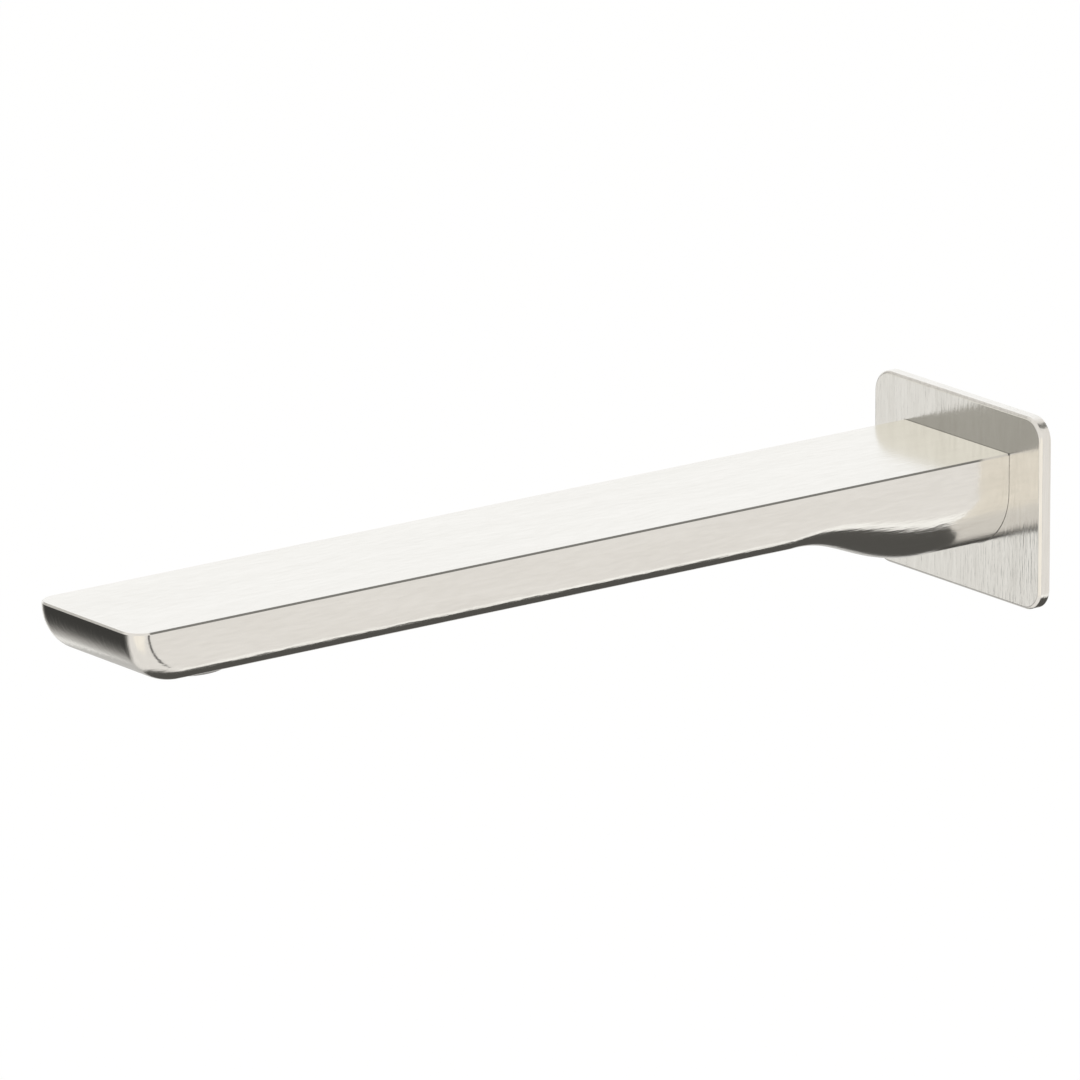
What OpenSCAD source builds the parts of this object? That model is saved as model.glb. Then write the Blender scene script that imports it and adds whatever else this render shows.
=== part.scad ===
// Wall mounted bath spout with a sliding cover plate and a screw-in aerator.
// Frame: origin on the wall plane, on the axis of the inlet thread. +Y runs into the
// wall, the spout reaches towards -Y, +Z is up. All sizes are in millimetres.

/* [Spout] */
// Reach from the wall plane to the tip
reach = 250; // [180:5:320]
// Width of the blade and of the hub
spout_w = 38; // [36:1:50]
// Thickness of the flat blade
blade_t = 12.8; // [12.5:0.1:18]
// Height of the top face above the inlet axis
top_z = 12.7; // [12.5:0.1:18]
// Depth of the hub's underside below the inlet axis
hub_drop = 11.3; // [11.3:0.1:15]
// Radius along the lower edges of the blade
edge_r = 4; // [3:0.5:5]
// Radius of the two tip corners, seen from above
corner_r = 5; // [3.5:0.5:5.5]
// Length of the rounded nose under the tip
nose_len = 13.5; // [11:0.5:18]
// Radius of the lower corners of the hub
hub_r = 15; // [10:0.5:16]
// Length of the sweep from the hub up to the blade
sweep_len = 44; // [40:1:70]
// Chamfer round the top face
top_chamfer = 0.4; // [0.2:0.1:0.8]
// Wall of the hollow body
wall_t = 2.2; // [1.5:0.1:2.5]
// Thickness of the brazed top cover
cover_t = 2; // [1.5:0.1:2.5]

/* [Inlet] */
// Outside diameter of the wall thread, G 3/8 or G 1/2
thread_d = 20.956; // [16.662, 20.956]
// Length of the wall thread
thread_len = 12.5; // [10:0.5:20]
// Diameter of the spigot that the spout slides over
spigot_d = 15; // [12:0.5:15]
// Wall of the spigot under an O-ring groove
spigot_wall = 1.15; // [1:0.05:1.5]
// Wall of the socket bush
socket_wall = 1.9; // [1.5:0.1:1.9]
// Diameter of the lock screw
lock_d = 4; // [3:1:5]
// Pitch of the lock screw
lock_pitch = 0.7; // [0.5:0.1:0.8]

/* [Cover plate] */
// Width of the plate beside the spout, on each side
plate_side = 11.25; // [9:0.25:30]
// Height of the plate above the spout's top face
plate_above = 10.05; // [8:0.05:30]
// Thickness of the plate
plate_t = 3; // [2.5:0.5:6]
// Radius of the plate's corners
plate_r = 5.5; // [4:0.5:10]
// Bevel round the front of the plate
plate_bevel = 0.6; // [0.3:0.1:1]
// Thickness of the plate's front skin
plate_skin = 1.2; // [1:0.1:1.5]
// Width of the rim that meets the wall
plate_rim = 2; // [1.5:0.5:3]
// Distance that the plate slides along the hub
plate_travel = 5; // [2:0.5:5]

/* [Aerator] */
// Distance from the tip to the aerator's axis
aerator_back = 26; // [24:1:40]
// Outside diameter of the aerator thread
aerator_d = 24; // [20:1:24]
// Pitch of the aerator thread
aerator_pitch = 1; // [1:0.5:1.5]
// Step from the thread in to the visible outlet face
face_step = 1.25; // [1:0.25:2]
// Distance that the face stands below the blade
face_drop = 2.2; // [1:0.1:4]
// Height of the threaded housing
housing_h = 9; // [8:0.1:9]
// Rim of the outlet face, round the opening
face_rim = 2.25; // [2:0.25:3]

/* [Hidden] */
$fn = 96;

// Clearances
slide_gap = 0.3;        // between the plate's parts and the hub
turn_gap = 0.05;        // radial, between a male thread and its bore
spigot_gap = 0.1;       // radial, between the spigot and its socket
seat_gap = 0.01;        // radial, round a squeezed seal
grip_gap = 0.15;        // between the grip ring and the hub
through = 1;            // how far a cut runs past a face
ring_gap = 1;           // least distance from a sloping ring of the spout to its upright end

// Spout
hub_back = -1;                          // back face of the hub
hub_t = top_z + hub_drop;               // depth of the hub at the wall
cover_z = top_z - cover_t;              // joint between body and cover
blade_z = top_z - blade_t;              // underside of the blade
nose_h = blade_t - top_chamfer;         // height of the nose curve
nose_first = 20;                        // angle where the nose curve starts
nose_steps = 12;
sweep_steps = 26;
edge_steps = 9;                         // points round each lower edge

// Inlet, from the wall forwards
shoulder_y = -0.5;                      // front end of the wall thread
lock_y = -(plate_t + plate_travel + lock_d / 2 + 0.5);
lock_groove_w = lock_d + 0.6;
lock_groove_r = spigot_d / 2 - 1.3;
seal_w = 2;                             // width of an O-ring groove
seal_depth = 1.35;                      // depth of an O-ring groove
seal_rear_y = lock_y - lock_groove_w / 2 - seal_w / 2 - 2.4;
seal_front_y = seal_rear_y - 3.8;
spigot_end = seal_front_y - 6;
socket_end = spigot_end - 1;            // shoulder at the bottom of the socket
socket_front = socket_end - 2;          // front end of the bush
chamber_y = socket_front + 5;           // where the hollow of the body starts
hub_end = seal_front_y - 1;             // the hub is deep as far as the front seal
nipple_bore_d = spigot_d - 2 * (seal_depth + spigot_wall);
key_depth = 4;                          // hexagon in the end of the spigot
socket_bore_d = spigot_d + 2 * spigot_gap;
socket_d = socket_bore_d + 2 * socket_wall;
pad_top = -lock_groove_r - 0.1;
pad_h = 1.2;
screw_top = pad_top - pad_h;
screw_h = hub_drop + screw_top - 0.3;   // ends just inside the hub
nose_ring_d = thread_d - 3.4;           // seat of the thread's seal ring
nose_ring_h = 2.4;
nose_lip_h = 0.6;

// Cover plate, centred on the inlet axis
plate_w = spout_w + 2 * plate_side;
plate_h = 2 * (top_z + plate_above);
pocket_t = plate_t - plate_skin;
pocket_w = plate_w - 2 * plate_rim;
pocket_h = plate_h - 2 * plate_rim;
pocket_r = plate_r - plate_rim;
grip_w = 1.45;
grip_t = 1;
carrier_side = 3.2;                     // carrier beside the grip ring
carrier_above = 1.6;                    // carrier above and below the grip ring
carrier_back = -0.2;
carrier_w = spout_w + 2 * (slide_gap + grip_w + carrier_side);
carrier_h = 2 * (max(top_z, hub_drop) + slide_gap + grip_w + carrier_above);

// Aerator, from its face upwards
aerator_y = -reach + aerator_back;
face_d = aerator_d - 2 * face_step;
outlet_d = face_d - 2 * face_rim;
face_z = blade_z - face_drop;
housing_top = face_z + housing_h;
thread_z = blade_z + wall_t + 0.2;      // lowest turn of the housing
washer_t = 1.5;
seat_z = housing_top + washer_t;        // seat of the washer in the bush
seat_t = 1;
seat_bore_d = face_d - 3;
bush_d = aerator_d + 4;
core_d = face_d - 2.6;                  // outside of the stack in the housing
ledge_t = 1;
grid_z = face_z + ledge_t;
grid_t = 1.2;
diffuser_z = grid_z + grid_t;
diffuser_h = 3;
metering_z = diffuser_z + diffuser_h;
metering_t = 2;
strainer_z = metering_z + metering_t;

// ---------------------------------------------------------------- spout shape

// Smooth step from 0 to 1
function ease(u) = (1 - cos(180 * min(1, max(0, u)))) / 2;

// Part of the way from the blade (0) to the hub (1) at a place along Y
function hubness(y) = ease((y - hub_end + sweep_len) / sweep_len);

// Depth of the section below the top face, and its slope along Y
function depth(y) = blade_t + (hub_t - blade_t) * hubness(y);
function slope(y) = (depth(y + 0.01) - depth(y - 0.01)) / 0.02;

// Radius of the lower edge at a place along Y
function lower_r(y) =
    y < -reach + nose_len
        ? corner_r + (edge_r - corner_r) * (y + reach) / nose_len
        : edge_r + (hub_r - edge_r) * hubness(y);

// Stations of the lower profile: [y, z, inward normal y, inward normal z, edge radius]
function nose_station(a) =
    let (
        y = -reach + nose_len * (1 - cos(a)),
        n = [nose_h * cos(a), nose_len * sin(a)]
    )
    [y, top_z - top_chamfer - nose_h * sin(a), n[0] / norm(n), n[1] / norm(n), lower_r(y)];

function under_station(y) =
    let (s = slope(y))
    [y, top_z - depth(y), s / norm([s, 1]), 1 / norm([s, 1]), lower_r(y)];

function upright_station(y) = [y, top_z - depth(y), 0, 1, lower_r(y)];

profile = concat(
    [for (i = [0 : nose_steps]) nose_station(nose_first + (90 - nose_first) * i / nose_steps)],
    [for (i = [0 : sweep_steps]) under_station(hub_end - sweep_len * (1 - i / sweep_steps))]
);

// Ring of points across the spout at station s, set in from the outside by inset. Its ends
// stand straight up the sides to the height top.
function ring(s, inset, top) =
    let (
        r = max(s[4] - inset, 0.3),
        side_x = spout_w / 2 - inset,
        side_y = s[0] + s[2] * (inset + r),
        edge = [for (side = [-1, 1]) for (k = [0 : edge_steps])
            let (
                a = 90 * (side < 0 ? 1 - k / edge_steps : k / edge_steps),
                m = inset + r * (1 - cos(a))
            )
            [side * (side_x - r + r * sin(a)), s[0] + s[2] * m, s[1] + s[3] * m]]
    )
    concat([[-side_x, side_y, top]], edge, [[side_x, side_y, top]]);

// Face without the points that it repeats
function tidy(face) =
    [for (j = [0 : len(face) - 1]) if (face[j] != face[(j + 1) % len(face)]) face[j]];

// Solid under the height top, from the tip to an upright end at end_y. Its first ring is the
// rounded plan of the tip, flat at that height, where each end meets its neighbour. A ring
// leans towards +Y up the sides, so those whose sides come near the end are left out.
module spout_solid(inset, top, end_y) {
    rings = concat(
        [ring([-reach, top, 1, 0, corner_r], inset, top)],
        [for (s = profile) if (s[0] + s[2] * s[4] < end_y - ring_gap) ring(s, inset, top)],
        [ring(upright_station(end_y), inset, top)]
    );
    m = len(rings[0]);
    n = len(rings);
    tip = [for (k = [0 : m - 1]) min(max(k, 1), m - 2)];
    index = concat([tip], [for (i = [1 : n - 1]) [for (k = [0 : m - 1]) i * m + k]]);
    strips = [for (i = [0 : n - 2]) for (k = [0 : m - 1])
        let (next = (k + 1) % m)
        tidy([index[i][k], index[i][next], index[i + 1][next], index[i + 1][k]])];
    tip_face = tidy([for (k = [m - 1 : -1 : 0]) tip[k]]);
    polyhedron([for (r = rings) each r], concat([tip_face], strips, [index[n - 1]]), convexity = 8);
}

// Outline of the hub in X and Z, grown by g
function hub_outline(g) =
    let (
        r = hub_r + g,
        cx = spout_w / 2 - hub_r,
        cz = hub_r - hub_drop,
        steps = 12
    )
    concat(
        [[spout_w / 2 + g, top_z + g], [-spout_w / 2 - g, top_z + g]],
        [for (i = [0 : steps]) [-cx - r * cos(90 * i / steps), cz - r * sin(90 * i / steps)]],
        [for (i = [0 : steps]) [cx + r * sin(90 * i / steps), cz - r * cos(90 * i / steps)]]
    );

// ---------------------------------------------------------------- shared shapes

// Turns a shape that stands on Z so that its base is at y and it grows towards +Y
module along_y(y) {
    translate([0, y, 0]) rotate([-90, 0, 0]) children();
}

// Puts a shape on the aerator's axis at height z
module at_outlet(z) {
    translate([0, aerator_y, z]) children();
}

module tube(d_out, d_in, h) {
    difference() {
        cylinder(d = d_out, h = h);
        translate([0, 0, -through]) cylinder(d = d_in, h = h + 2 * through);
    }
}

// Prism of an X and Z outline between two places along Y
module wall_prism(y0, y1) {
    translate([0, y1, 0]) rotate([90, 0, 0]) linear_extrude(y1 - y0) children();
}

// Flat rectangle with round corners
module round_rect(w, h, r) {
    square([w - 2 * r, h], center = true);
    square([w, h - 2 * r], center = true);
    for (x = [-1, 1], z = [-1, 1]) {
        translate([x * (w / 2 - r), z * (h / 2 - r)]) circle(r = r);
    }
}

// Round-cornered slab that tapers by b all round towards its top
module bevel_layer(w, h, r, b) {
    flat_w = w - 2 * r;
    flat_h = h - 2 * r;
    side_x = [[-w / 2, 0], [w / 2, 0], [w / 2 - b, b], [b - w / 2, b]];
    side_y = [[-h / 2, 0], [h / 2, 0], [h / 2 - b, b], [b - h / 2, b]];
    rotate([90, 0, 0]) translate([0, 0, -flat_h / 2]) linear_extrude(flat_h) polygon(side_x);
    rotate([90, 0, 90]) translate([0, 0, -flat_w / 2]) linear_extrude(flat_w) polygon(side_y);
    for (x = [-1, 1], y = [-1, 1]) {
        translate([x * flat_w / 2, y * flat_h / 2, 0]) cylinder(r1 = r, r2 = r - b, h = b);
    }
}

// Male thread shown as rings: a shaft of diameter d with a round groove at each pitch
module ringed_shaft(d, h, pitch, groove) {
    turns = floor(h / pitch);
    rotate_extrude() polygon(concat(
        [[0, 0], [d / 2 - groove, 0]],
        [for (i = [0 : turns - 1], p = [0, 1])
            [d / 2 - groove * (1 - p), (i + 0.25 + 0.5 * p) * pitch]],
        [[d / 2 - groove, h], [0, h]]
    ));
}

// ---------------------------------------------------------------- spout

module spout_body() {
    color("#c9c5bd") difference() {
        union() {
            difference() {
                spout_solid(0, cover_z, hub_back);
                spout_solid(wall_t, cover_z + through, chamber_y);
            }
            at_outlet(blade_z + wall_t / 2) cylinder(d = bush_d + 2, h = wall_t / 2);
        }
        along_y(socket_front) cylinder(d = socket_d, h = -socket_front);
        lock_hole();
        at_outlet(blade_z - through) cylinder(d = aerator_d + 0.6, h = wall_t + 2 * through);
        at_outlet(blade_z + wall_t) cylinder(d = bush_d, h = blade_t);
    }
}

module lock_hole() {
    translate([0, lock_y, -hub_t]) cylinder(d = lock_d, h = hub_t);
}

// Brazed lid: a flat plate with a chamfer round its top and the tip's two round corners
module top_cover() {
    plain_t = cover_t - top_chamfer;
    color("#d6d3cb") translate([0, 0, cover_z]) {
        linear_extrude(plain_t) cover_plan();
        translate([0, 0, plain_t]) cover_chamfer();
    }
}

module cover_plan() {
    translate([-spout_w / 2, -reach + corner_r]) square([spout_w, reach - corner_r + hub_back]);
    translate([corner_r - spout_w / 2, -reach]) square([spout_w - 2 * corner_r, 2 * corner_r]);
    for (x = [-1, 1]) {
        translate([x * (spout_w / 2 - corner_r), -reach + corner_r]) circle(r = corner_r);
    }
}

module cover_chamfer() {
    c = top_chamfer;
    half = spout_w / 2;
    wall_prism(-reach + corner_r, hub_back)
        polygon([[-half, 0], [half, 0], [half - c, c], [c - half, c]]);
    rotate([90, 0, 90]) translate([0, 0, corner_r - half]) linear_extrude(spout_w - 2 * corner_r)
        polygon([[-reach, 0], [2 * corner_r - reach, 0], [2 * corner_r - reach, c], [c - reach, c]]);
    for (x = [-1, 1]) {
        translate([x * (half - corner_r), -reach + corner_r, 0])
            cylinder(r1 = corner_r, r2 = corner_r - c, h = c);
    }
}

module inlet_bush() {
    color("#c8a24a") difference() {
        along_y(socket_front) cylinder(d = socket_d, h = hub_back - socket_front);
        along_y(socket_end) cylinder(d = socket_bore_d, h = -socket_end);
        along_y(socket_front - through) cylinder(d = nipple_bore_d + 1, h = 4);
        lock_hole();
    }
}

module outlet_bush() {
    base = blade_z + wall_t;
    color("#c8a24a") at_outlet(base) difference() {
        cylinder(d = bush_d, h = seat_z + seat_t - base);
        translate([0, 0, -through]) cylinder(d = aerator_d, h = seat_z - base + through);
        cylinder(d = seat_bore_d, h = blade_t);
    }
}

// ---------------------------------------------------------------- inlet

module wall_nipple() {
    thread_end = shoulder_y + thread_len;
    color("#d4b056") difference() {
        union() {
            along_y(spigot_end) cylinder(d = spigot_d, h = -spigot_end);
            along_y(shoulder_y) cylinder(d = thread_d, h = thread_len);
            along_y(thread_end) cylinder(d = nose_ring_d, h = nose_ring_h);
            along_y(thread_end + nose_ring_h) cylinder(d = nose_ring_d + 1, h = nose_lip_h);
        }
        along_y(spigot_end - through) cylinder(d = nipple_bore_d, h = reach);
        along_y(spigot_end - through) rotate([0, 0, 30])
            cylinder(d = nipple_bore_d / cos(30), h = key_depth + through, $fn = 6);
        for (y = [seal_front_y, seal_rear_y]) {
            along_y(y - seal_w / 2) tube(spigot_d + 1, spigot_d - 2 * seal_depth, seal_w);
        }
        along_y(lock_y - lock_groove_w / 2) tube(spigot_d + 1, 2 * lock_groove_r, lock_groove_w);
    }
}

// Ring squeezed between the bottom of its groove and the socket
module nipple_seal(y) {
    inner = spigot_d / 2 - seal_depth + seat_gap;
    outer = socket_bore_d / 2 - seat_gap;
    color("#2b2b2b") along_y(y) rotate_extrude()
        translate([(inner + outer) / 2, 0]) circle(d = outer - inner, $fn = 32);
}

module nipple_o_ring_front() {
    nipple_seal(seal_front_y);
}

module nipple_o_ring_rear() {
    nipple_seal(seal_rear_y);
}

module thread_seal_ring() {
    color("#f0efe9") along_y(shoulder_y + thread_len)
        tube(thread_d - 0.8, nose_ring_d, nose_ring_h);
}

module grub_screw() {
    color("#8d8d8d") translate([0, lock_y, screw_top - screw_h]) difference() {
        ringed_shaft(lock_d - 2 * turn_gap, screw_h, lock_pitch, 0.3);
        translate([0, 0, -through])
            cylinder(d = lock_d / 2 / cos(30), h = screw_h / 2 + through, $fn = 6);
    }
}

module pressure_pad() {
    color("#c8a24a") translate([0, lock_y, screw_top]) cylinder(d = lock_d - 1, h = pad_h);
}

// ---------------------------------------------------------------- cover plate

module cover_plate() {
    color("#d2cfc7") difference() {
        union() {
            wall_prism(plate_bevel - plate_t, 0) round_rect(plate_w, plate_h, plate_r);
            translate([0, plate_bevel - plate_t, 0]) rotate([90, 0, 0])
                bevel_layer(plate_w, plate_h, plate_r, plate_bevel);
        }
        wall_prism(-pocket_t, through) round_rect(pocket_w, pocket_h, pocket_r);
        wall_prism(-plate_t - through, 0) polygon(hub_outline(slide_gap));
    }
}

// Holds the grip ring behind the skin, with a lip at its back
module plate_carrier() {
    lip_y = grip_t - pocket_t;
    color("#3a3a3a") difference() {
        wall_prism(-pocket_t, carrier_back) round_rect(carrier_w, carrier_h, plate_rim);
        wall_prism(-pocket_t - through, lip_y) polygon(hub_outline(slide_gap + grip_w));
        wall_prism(-pocket_t, through) polygon(hub_outline(slide_gap + grip_w / 3));
    }
}

module plate_grip_ring() {
    color("#2b2b2b") wall_prism(-pocket_t, grip_t - pocket_t) difference() {
        polygon(hub_outline(slide_gap + grip_w));
        polygon(hub_outline(grip_gap));
    }
}

module plate_gasket() {
    color("#4a4a4a") wall_prism(-pocket_t, 0) difference() {
        round_rect(pocket_w, pocket_h, pocket_r);
        round_rect(carrier_w, carrier_h, plate_rim);
    }
}

// ---------------------------------------------------------------- aerator

module aerator_housing() {
    neck_h = thread_z - face_z;
    notch = 1.6;
    color("#9e9e9e") at_outlet(face_z) difference() {
        union() {
            rotate_extrude() polygon([
                [0, 0], [face_d / 2 - 0.8, 0], [face_d / 2 - 0.2, 0.2], [face_d / 2, 0.8],
                [face_d / 2, neck_h], [0, neck_h]
            ]);
            translate([0, 0, neck_h])
                ringed_shaft(aerator_d - 2 * turn_gap, housing_h - neck_h, aerator_pitch, 0.6);
        }
        translate([0, 0, ledge_t]) cylinder(d = core_d, h = housing_h);
        translate([0, 0, -through]) cylinder(d = outlet_d, h = housing_h);
        for (a = [0 : 60 : 300]) {
            rotate([0, 0, a]) translate([outlet_d / 2 + face_rim / 3, -notch / 2, -through])
                cube([face_rim, notch, ledge_t / 2 + through]);
        }
    }
}

module aerator_washer() {
    color("#2b2b2b") at_outlet(housing_top) tube(aerator_d - 1.2, seat_bore_d, washer_t);
}

module aerator_outlet_grid() {
    rows = 3;
    pitch = outlet_d / (2 * rows + 1);
    color("#b4b4b4") at_outlet(grid_z) difference() {
        cylinder(d = core_d, h = grid_t);
        for (q = [-rows : rows], r = [max(-rows, -q - rows) : min(rows, -q + rows)]) {
            translate([pitch * (q + r / 2), pitch * r * sin(60), -through])
                cylinder(d = pitch - 0.1, h = grid_t + 2 * through, $fn = 6);
        }
    }
}

module aerator_diffuser() {
    color("#e8e6df") at_outlet(diffuser_z) difference() {
        tube(core_d, core_d - 3, diffuser_h);
        for (a = [0 : 45 : 315]) {
            rotate([0, 0, a]) translate([core_d / 2 - 3, -0.75, diffuser_h - 1])
                cube([4, 1.5, 2]);
        }
    }
}

module aerator_metering_plate() {
    jets = 16;
    cone_h = 1.4;
    color("#c9ccd0") at_outlet(metering_z) difference() {
        union() {
            cylinder(d = core_d, h = metering_t - 0.8);
            tube(core_d, core_d - 2.4, metering_t);
            translate([0, 0, -cone_h]) cylinder(d1 = 2, d2 = 8, h = cone_h);
        }
        for (i = [0 : jets - 1]) {
            rotate([0, 0, 360 * i / jets]) translate([core_d / 2 - 3.2, 0, -through])
                cylinder(d = 1.4, h = 2 * metering_t, $fn = 24);
        }
    }
}

module aerator_strainer() {
    dome_d = core_d - 2.4;
    dome_h = seat_z + 0.3 - strainer_z;
    rows = 3;
    spacing = (dome_d / 2 - 1.95) / rows;
    color("#efeeea") at_outlet(strainer_z) difference() {
        union() {
            cylinder(d = core_d, h = housing_top - strainer_z);
            cylinder(d = dome_d, h = dome_h);
        }
        translate([0, 0, -through]) cylinder(d = dome_d - 1.6, h = dome_h - 0.6 + through);
        for (r = [1 : rows], i = [0 : 6 * r - 1]) {
            rotate([0, 0, 60 * i / r]) translate([spacing * r, 0, 0])
                cylinder(d = 1.2, h = dome_h + through, $fn = 16);
        }
    }
}

spout_body();
top_cover();
inlet_bush();
outlet_bush();
wall_nipple();
nipple_o_ring_front();
nipple_o_ring_rear();
thread_seal_ring();
grub_screw();
pressure_pad();
cover_plate();
plate_carrier();
plate_grip_ring();
plate_gasket();
aerator_housing();
aerator_washer();
aerator_strainer();
aerator_metering_plate();
aerator_diffuser();
aerator_outlet_grid();
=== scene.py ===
"""Looks of a wall mounted bath spout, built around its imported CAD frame.

A flat brushed nickel blade sweeps down into a round bottomed hub, which passes through a cover
plate on the wall. A nipple inside the hub screws into the wall, a lock screw under the hub holds
the spout on it, and an aerator screws in under the tip. All sizes are in metres. +Y runs into the
wall, +Z is up, and the origin is on the wall, on the axis of the inlet thread.
"""

import logging
import math
from dataclasses import dataclass, field
from enum import Enum
from typing import Callable, Iterable, Sequence

import bmesh
import bpy
import numpy as np
from mathutils import Matrix, Vector


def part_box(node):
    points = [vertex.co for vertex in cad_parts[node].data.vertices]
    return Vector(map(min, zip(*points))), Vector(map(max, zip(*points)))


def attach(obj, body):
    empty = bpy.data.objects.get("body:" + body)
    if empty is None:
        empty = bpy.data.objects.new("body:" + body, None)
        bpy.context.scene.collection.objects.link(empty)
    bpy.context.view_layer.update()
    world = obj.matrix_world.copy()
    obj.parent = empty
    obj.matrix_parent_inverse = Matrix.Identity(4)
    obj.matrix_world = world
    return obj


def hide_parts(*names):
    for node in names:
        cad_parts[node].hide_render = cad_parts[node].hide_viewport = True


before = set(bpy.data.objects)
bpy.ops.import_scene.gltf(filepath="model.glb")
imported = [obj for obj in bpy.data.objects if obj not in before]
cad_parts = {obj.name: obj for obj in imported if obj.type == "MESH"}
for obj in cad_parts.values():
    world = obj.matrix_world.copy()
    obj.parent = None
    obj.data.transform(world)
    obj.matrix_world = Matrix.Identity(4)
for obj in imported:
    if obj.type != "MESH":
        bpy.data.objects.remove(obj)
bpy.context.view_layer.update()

MM = 0.001
SHARP_ANGLE = math.radians(28)
PAINTED_SHADE_STEPS = (0.2 * MM, 0.1 * MM)  # below the flat top, where the painted shade on its mirrored image sets in and is full
PAST = 1 * MM  # how far a cutter runs past what it cuts
log = logging.getLogger("bath_spout")

Point = Sequence[float]
Colour = tuple[float, float, float]


class Axis(Enum):
    """Axis that a turned piece stands on."""

    Y = "Y"
    Z = "Z"


class Grain(Enum):
    """Way that the brush lines run over a face."""

    ALONG_BLADE = 0.0
    UPRIGHT = 1.0


# ------------------------------------------------------------------ node trees


class Wiring:
    """A node tree, with short calls that add nodes and join them."""

    def __init__(self, tree: bpy.types.NodeTree) -> None:
        """Keeps the tree that the nodes go into."""
        self.tree = tree

    def add(self, kind: str, feeds: dict | None = None, **settings: object) -> bpy.types.Node:
        """Adds a node.

        Args:
            kind: Blender's type name of the node.
            feeds: sockets or values for its inputs, by their name or place.
            settings: properties to set on it.

        Returns:
            The new node.
        """
        node = self.tree.nodes.new(kind)
        for name, value in settings.items():
            setattr(node, name, value)
        for name, value in (feeds or {}).items():
            self.feed(value, node.inputs[name])
        return node

    def feed(self, value: object, socket: bpy.types.NodeSocket) -> None:
        """Joins an output to a socket, or sets the socket's own value.

        Args:
            value: an output socket or a plain value, with three parts for a colour.
            socket: the input that takes it.
        """
        if isinstance(value, bpy.types.NodeSocket):
            self.tree.links.new(value, socket)
        else:
            socket.default_value = (*value, 1.0) if socket.type == "RGBA" else value

    def math(self, operation: str, *values: object) -> bpy.types.NodeSocket:
        """Adds a Math node.

        Args:
            operation: the node's operation.
            values: its inputs in order, as sockets or numbers.

        Returns:
            Its output.
        """
        return self.add("ShaderNodeMath", dict(enumerate(values)), operation=operation).outputs[0]

    def span(self, value: object, low: float, high: float, smooth: bool = False) -> bpy.types.NodeSocket:
        """Spreads the range from low to high over 0 to 1.

        Args:
            value: the socket to spread.
            low: value that gives 0.
            high: value that gives 1.
            smooth: whether the ends are eased.

        Returns:
            The spread value.
        """
        feeds = {"Value": value, "From Min": low, "From Max": high}
        way = "SMOOTHSTEP" if smooth else "LINEAR"
        return self.add("ShaderNodeMapRange", feeds, interpolation_type=way).outputs["Result"]

    def between(self, factor: object, low: float, high: float) -> bpy.types.NodeSocket:
        """Gives low where the factor is 0 and high where it is 1.

        Args:
            factor: a socket that runs from 0 to 1.
            low: value at 0.
            high: value at 1.

        Returns:
            The value in between.
        """
        return self.math("MULTIPLY_ADD", factor, high - low, low)

    def tint(self, factor: object, first: object, second: object) -> bpy.types.NodeSocket:
        """Mixes two colours.

        Args:
            factor: how much of the second colour.
            first: socket or colour at 0.
            second: socket or colour at 1.

        Returns:
            The mixed colour.
        """
        return self.add("ShaderNodeMix", {"Factor": factor, 6: first, 7: second}, data_type="RGBA").outputs[2]

    def noise(self, vector: object, scale: float, detail: float) -> bpy.types.NodeSocket:
        """Adds a Noise Texture.

        Args:
            vector: where it is read.
            scale: features per unit of that vector.
            detail: octaves of finer noise.

        Returns:
            Its value, from 0 to 1.
        """
        return self.add("ShaderNodeTexNoise", {"Vector": vector, "Scale": scale, "Detail": detail}).outputs[0]

    def parts(self, vector: bpy.types.NodeSocket) -> list[bpy.types.NodeSocket]:
        """Gives the X, Y and Z of a vector."""
        return list(self.add("ShaderNodeSeparateXYZ", {0: vector}).outputs)


def shader_group(name: str, inputs: dict[str, str], outputs: dict[str, str]) -> tuple[Wiring, dict, dict]:
    """Starts a shader node group.

    Args:
        name: the group's name.
        inputs: socket types by input name.
        outputs: socket types by output name.

    Returns:
        Its wiring, its inputs as sockets to read, and its outputs as sockets to feed.
    """
    tree = bpy.data.node_groups.new(name, "ShaderNodeTree")
    for way, sockets in (("INPUT", inputs), ("OUTPUT", outputs)):
        for socket, kind in sockets.items():
            tree.interface.new_socket(socket, in_out=way, socket_type=kind)
    wiring = Wiring(tree)
    given, made = wiring.add("NodeGroupInput"), wiring.add("NodeGroupOutput")
    return (
        wiring,
        {socket: given.outputs[socket] for socket in inputs},
        {socket: made.inputs[socket] for socket in outputs},
    )


VALUE, VECTOR = "NodeSocketFloat", "NodeSocketVector"
GEOMETRY, ROTATION = "NodeSocketGeometry", "NodeSocketRotation"
FINE, COARSE = 3.0, 2.0  # octaves of noise
PATCH_SCALE = 0.12  # patches for each brush line
STAIN_SCALE, SHADE_SCALE = 160.0, 90.0  # spots in a metre


def brush_grain_group() -> bpy.types.NodeTree:
    """Builds the grain of a brushed face: fine lines one way and broad, faint patches.

    Returns:
        A group whose Turn input is 0 for lines along Y and 1 for lines along Z.
    """
    w, given, made = shader_group(
        "brush_grain",
        {"Place": VECTOR, "Turn": VALUE, "Fineness": VALUE, "Stretch": VALUE},
        {"Lines": VALUE, "Patches": VALUE},
    )
    across, along = given["Fineness"], w.math("DIVIDE", given["Fineness"], given["Stretch"])
    place = w.parts(given["Place"])
    ways = []
    for rates in ((across, along, across), (across, across, along)):
        scaled = [w.math("MULTIPLY", part, rate) for part, rate in zip(place, rates)]
        ways.append(w.add("ShaderNodeCombineXYZ", dict(enumerate(scaled))).outputs[0])
    for name, scale, detail in (("Lines", 1.0, FINE), ("Patches", PATCH_SCALE, COARSE)):
        first, second = (w.noise(way, scale, detail) for way in ways)
        turned = w.math("MULTIPLY_ADD", w.math("SUBTRACT", second, first), given["Turn"], first)
        w.feed(turned, made[name])
    return w.tree


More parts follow.
